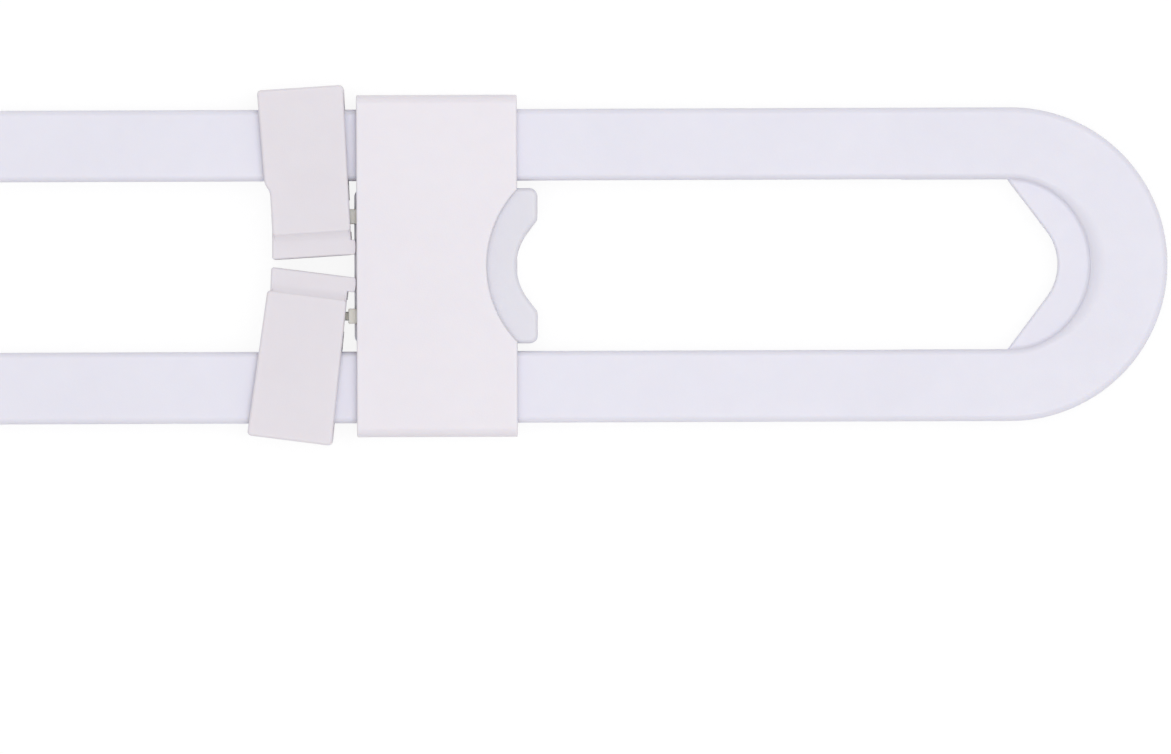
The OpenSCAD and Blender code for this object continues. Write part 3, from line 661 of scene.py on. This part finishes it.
spring_plastic = satin_plastic("natural spring plastic", (0.78, 0.76, 0.69), (0.74, 0.72, 0.65),
                               roughness=0.34)
spring_plastic.node_tree.nodes["Principled BSDF"].inputs["Subsurface Weight"].default_value = 0.45
for name, node, body, turn, side in (
        ("upper_leaf_spring", "upper_spring", "upper_lever", UPPER_SQUEEZE, 1),
        ("lower_leaf_spring", "lower_spring", "lower_lever", LOWER_SQUEEZE, -1)):
    bearing = (PAWL_INSIDE - PIN_Y - SPRING_NOSE / 2 - SEAT_GAP) / math.cos(turn)
    rise = PIN_Y + bearing + (SPRING_END - PIN_X) * math.tan(turn) - SPRING_Y
    shares = np.linspace(0, 1, LEAF_STEPS + 1)
    leaf_x = BOSS_X + (SPRING_END - BOSS_X) * shares
    leaf_y = SPRING_Y + rise * shares**2 * (3 - shares) / 2
    half = (SPRING_NOSE + (SPRING_ROOT - SPRING_NOSE) * (1 - shares) ** 2) / 2
    nose = arc((leaf_x[-1], leaf_y[-1]), SPRING_NOSE / 2, 90, 270, step=15)[1:-1]
    foot = [(HEAD_X + HEAD_LENGTH, HEAD_HALF), (HEAD_X, HEAD_HALF), (HEAD_X, BOSS_HALF),
            (BOSS_X, BOSS_HALF)]
    gusset = (GUSSET_HIGH - SPRING_HIGH) * np.clip(1 - shares / GUSSET_SHARE, 0, 1) ** 2
    fronts = SPRING_HIGH + np.array(
        [gusset[0], *gusset, *[0] * len(nose), *gusset[::-1], gusset[0]])
    rear = rear_edge(SPRING_LOW, LEAF_ROUND, FINE_STEPS)
    leaf = solid(lofted(
        [(BOSS_X + LEAF_SUNK, leaf_y[0] + half[0])] + list(zip(leaf_x, leaf_y + half)) + nose
        + list(zip(leaf_x[::-1], (leaf_y - half)[::-1]))
        + [(BOSS_X + LEAF_SUNK, leaf_y[0] - half[0])],
        rear + front_edge(fronts, LEAF_ROUND, FINE_STEPS)))
    work(leaf, solid(lofted(eased(
        [(x, SPRING_Y + y, FOOT_CORNER_ROUND) for x, y in foot]
        + [(x, SPRING_Y - y, FOOT_CORNER_ROUND) for x, y in reversed(foot)]),
        rear + front_edge(FOOT_HIGH, LEAF_ROUND, FINE_STEPS))), "UNION")
    if side < 0:
        mirrored(leaf)
    smoothed(leaf, name, spring_plastic)
    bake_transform(leaf)
    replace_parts(leaf, node)

# Front cover: the slider's white front shell, with rounded sides, a scalloped edge over the
# saddle and four pegs inside that go through the core and fix it to the rear cover.
HOUSING_FRONT, SIDE_ROUND, EDGE_ROUND = 9.8, 1.4, 0.25
FRONT_INSIDE, CORE_GAP_Y = 8.1, CORE_Y + SEAT_GAP
SCALLOP_RADIUS, SCALLOP_DEPTH = 16.2, 4.5
PEG_REAR, PEG_ROUND, PEG_SUNK = 0.08, 0.35, 0.4

shell_outline = eased([(-HOUSING_Y, SEAM, SEAM_CORNER), (HOUSING_Y, SEAM, SEAM_CORNER),
                       (HOUSING_Y, HOUSING_FRONT, SIDE_ROUND),
                       (-HOUSING_Y, HOUSING_FRONT, SIDE_ROUND)], step=7.5)
shell_rounds = np.array([SEAM_ROUND if z < SEAM + EDGE_ROUND else EDGE_ROUND
                         for _, z in shell_outline])
shell = solid(lofted(
    shell_outline, rear_edge(-HOUSING_X, shell_rounds) + front_edge(HOUSING_X, shell_rounds),
    along_legs))
for low_y, high_y in ((-CHANNEL_OUTER, -CHANNEL_INNER), (-CORE_GAP_Y, CORE_GAP_Y),
                      (CHANNEL_INNER, CHANNEL_OUTER)):
    work(shell, solid(passage((low_y, SEAM - SEAM_PAST), (high_y, FRONT_INSIDE),
                              -HOUSING_X, HOUSING_X)), "DIFFERENCE")
scallop = circle((HOUSING_X - SCALLOP_DEPTH + SCALLOP_RADIUS, 0), SCALLOP_RADIUS, step=2.5)
work(shell, solid(lofted(
    scallop,
    [(SEAM - PAST, 0)]
    + [(h, -inset) for h, inset in front_edge(HOUSING_FRONT, EDGE_ROUND, steps=6)]
    + [(HOUSING_FRONT + PAST, -EDGE_ROUND)])), "DIFFERENCE")
for peg in pegs:
    work(shell, solid(lofted(
        circle(peg, PEG_RADIUS),
        rear_edge(PEG_REAR, PEG_ROUND, steps=4) + [(FRONT_INSIDE + PEG_SUNK, 0)])), "UNION")
smoothed(shell, "front_shell", cover_plastic)
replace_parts(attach(shell, "slider"), "front_cover")

# Stage: a white floor under the lock, soft light from above and all round, and a camera that
# looks straight down on the front from a long way off.
FLOOR_HALF, FLOOR_Z = 6.0, -0.0002
VIEW_X, VIEW_Y, VIEW_WIDTH, CAMERA_HEIGHT, VIEW_TILT = 0.02179, -0.0164, 0.1722, 2.4, 0.2

scene = bpy.context.scene
scene.view_settings.view_transform = "Standard"


def seen_white(nodes, links, lit, white):
    """Shader that camera, mirror and glass rays see as white, and other rays see as lit."""
    path = nodes.new("ShaderNodeLightPath")
    either = path.outputs["Is Camera Ray"]
    for other in ("Is Glossy Ray", "Is Transmission Ray"):
        most = nodes.new("ShaderNodeMath")
        most.operation = "MAXIMUM"
        links.new(either, most.inputs[0])
        links.new(path.outputs[other], most.inputs[1])
        either = most.outputs[0]
    mixed = nodes.new("ShaderNodeMixShader")
    links.new(either, mixed.inputs["Fac"])
    links.new(lit, mixed.inputs[1])
    links.new(white, mixed.inputs[2])
    return mixed.outputs[0]


paper = bpy.data.materials.new("white floor")
paper.use_nodes = True
nodes, links = paper.node_tree.nodes, paper.node_tree.links
nodes.clear()
matt = nodes.new("ShaderNodeBsdfDiffuse")
matt.inputs["Color"].default_value = (0.95, 0.95, 0.95, 1)
glow = nodes.new("ShaderNodeEmission")
glow.inputs["Strength"].default_value = 1.04
shown = nodes.new("ShaderNodeMixShader")
shown.inputs["Fac"].default_value = 0.85
links.new(matt.outputs[0], shown.inputs[1])
links.new(glow.outputs[0], shown.inputs[2])
links.new(seen_white(nodes, links, matt.outputs[0], shown.outputs[0]),
          nodes.new("ShaderNodeOutputMaterial").inputs["Surface"])
sheet = bmesh.new()
sheet.faces.new([sheet.verts.new((x * FLOOR_HALF, y * FLOOR_HALF, FLOOR_Z))
                 for x, y in ((-1, -1), (1, -1), (1, 1), (-1, 1))])
floor = solid(sheet, "floor")
floor.data.materials.append(paper)

world = bpy.data.worlds.new("white room")
scene.world = world
world.use_nodes = True
nodes, links = world.node_tree.nodes, world.node_tree.links
nodes.clear()
room = nodes.new("ShaderNodeBackground")
room.inputs["Strength"].default_value = 0.60
backdrop = nodes.new("ShaderNodeBackground")
for light in (room, backdrop):
    light.inputs["Color"].default_value = (1, 1, 1, 1)
links.new(seen_white(nodes, links, room.outputs[0], backdrop.outputs[0]),
          nodes.new("ShaderNodeOutputWorld").inputs["Surface"])

for name, place, width, power in (("key panel", (0.34, 0.14, 1.4), 0.8, 4.4),
                                  ("fill panel", (-0.06, -0.16, 1.4), 0.8, 3.2)):
    panel = bpy.data.lights.new(name, "AREA")
    panel.shape, panel.size, panel.energy = "SQUARE", width, power
    lamp = bpy.data.objects.new(name, panel)
    lamp.location = place
    lamp.rotation_euler = (-Vector(place)).to_track_quat("-Z", "Y").to_euler()
    lamp.visible_camera = False
    scene.collection.objects.link(lamp)

lens = bpy.data.cameras.new("camera")
lens.sensor_width = 36.0
lens.lens = lens.sensor_width * (CAMERA_HEIGHT - LEG_FRONT * MM) / VIEW_WIDTH
camera = bpy.data.objects.new("camera", lens)
camera.location = (VIEW_X, VIEW_Y, CAMERA_HEIGHT)
camera.rotation_euler = (0, 0, math.radians(-VIEW_TILT))
scene.collection.objects.link(camera)
scene.camera = camera
